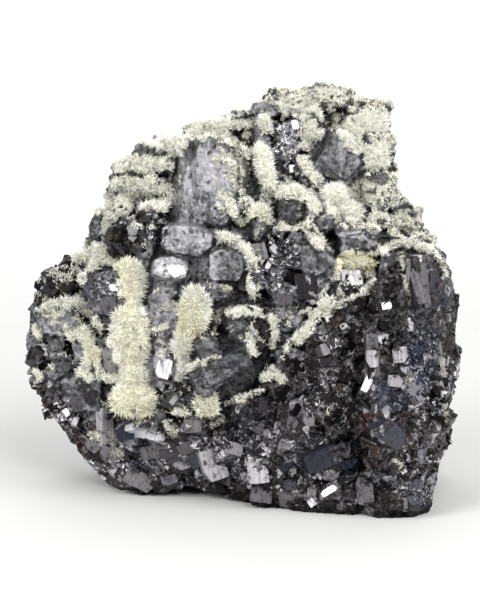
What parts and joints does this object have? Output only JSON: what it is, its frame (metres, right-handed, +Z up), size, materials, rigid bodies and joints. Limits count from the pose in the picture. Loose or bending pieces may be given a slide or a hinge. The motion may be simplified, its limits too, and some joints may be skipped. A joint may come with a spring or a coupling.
{
  "type": "galena specimen",
  "caption": "hand-sized lump of broken galena ore with blocky crystals on its upper face, black sphalerite clusters and crusts of cream druse",
  "frame": {"origin": "middle of the bounding box in plan, on the surface that the specimen stands on", "axes": "+X runs from left to right of the crystal face and is the longest way, +Y runs from the crystal face to the back and is the shortest way, +Z is up"},
  "size_m": [0.1102, 0.0722, 0.1031],
  "materials": {
    "galena": "satin",
    "sphalerite": "gloss",
    "druse": "matte"
  },
  "bodies": {
    "root": {"druse_arch": "druse", "druse_blade_side": "druse", "druse_centre": "druse", "druse_column": "druse", "druse_crest": "druse", "druse_flank": "druse", "druse_hollow": "druse", "druse_ledge_centre": "druse", "druse_ledge_lower": "druse", "druse_ledge_middle": "druse", "druse_ledge_upper": "druse", "druse_left_hook": "druse", "druse_left_shelf": "druse", "druse_left_shoulder": "druse", "druse_lower_tuft": "druse", "druse_lozenge": "druse", "druse_middle": "druse", "druse_outer_ledge": "druse", "druse_plate_rim": "druse", "druse_pocket": "druse", "druse_rim": "druse", "druse_slope": "druse", "druse_summit": "druse", "druse_tuft": "druse", "galena_mass": "galena", "sphalerite_centre": "sphalerite", "sphalerite_edge": "sphalerite", "sphalerite_left": "sphalerite", "sphalerite_left_upper": "sphalerite", "sphalerite_shoulder": "sphalerite"}
  },
  "joints": []
}
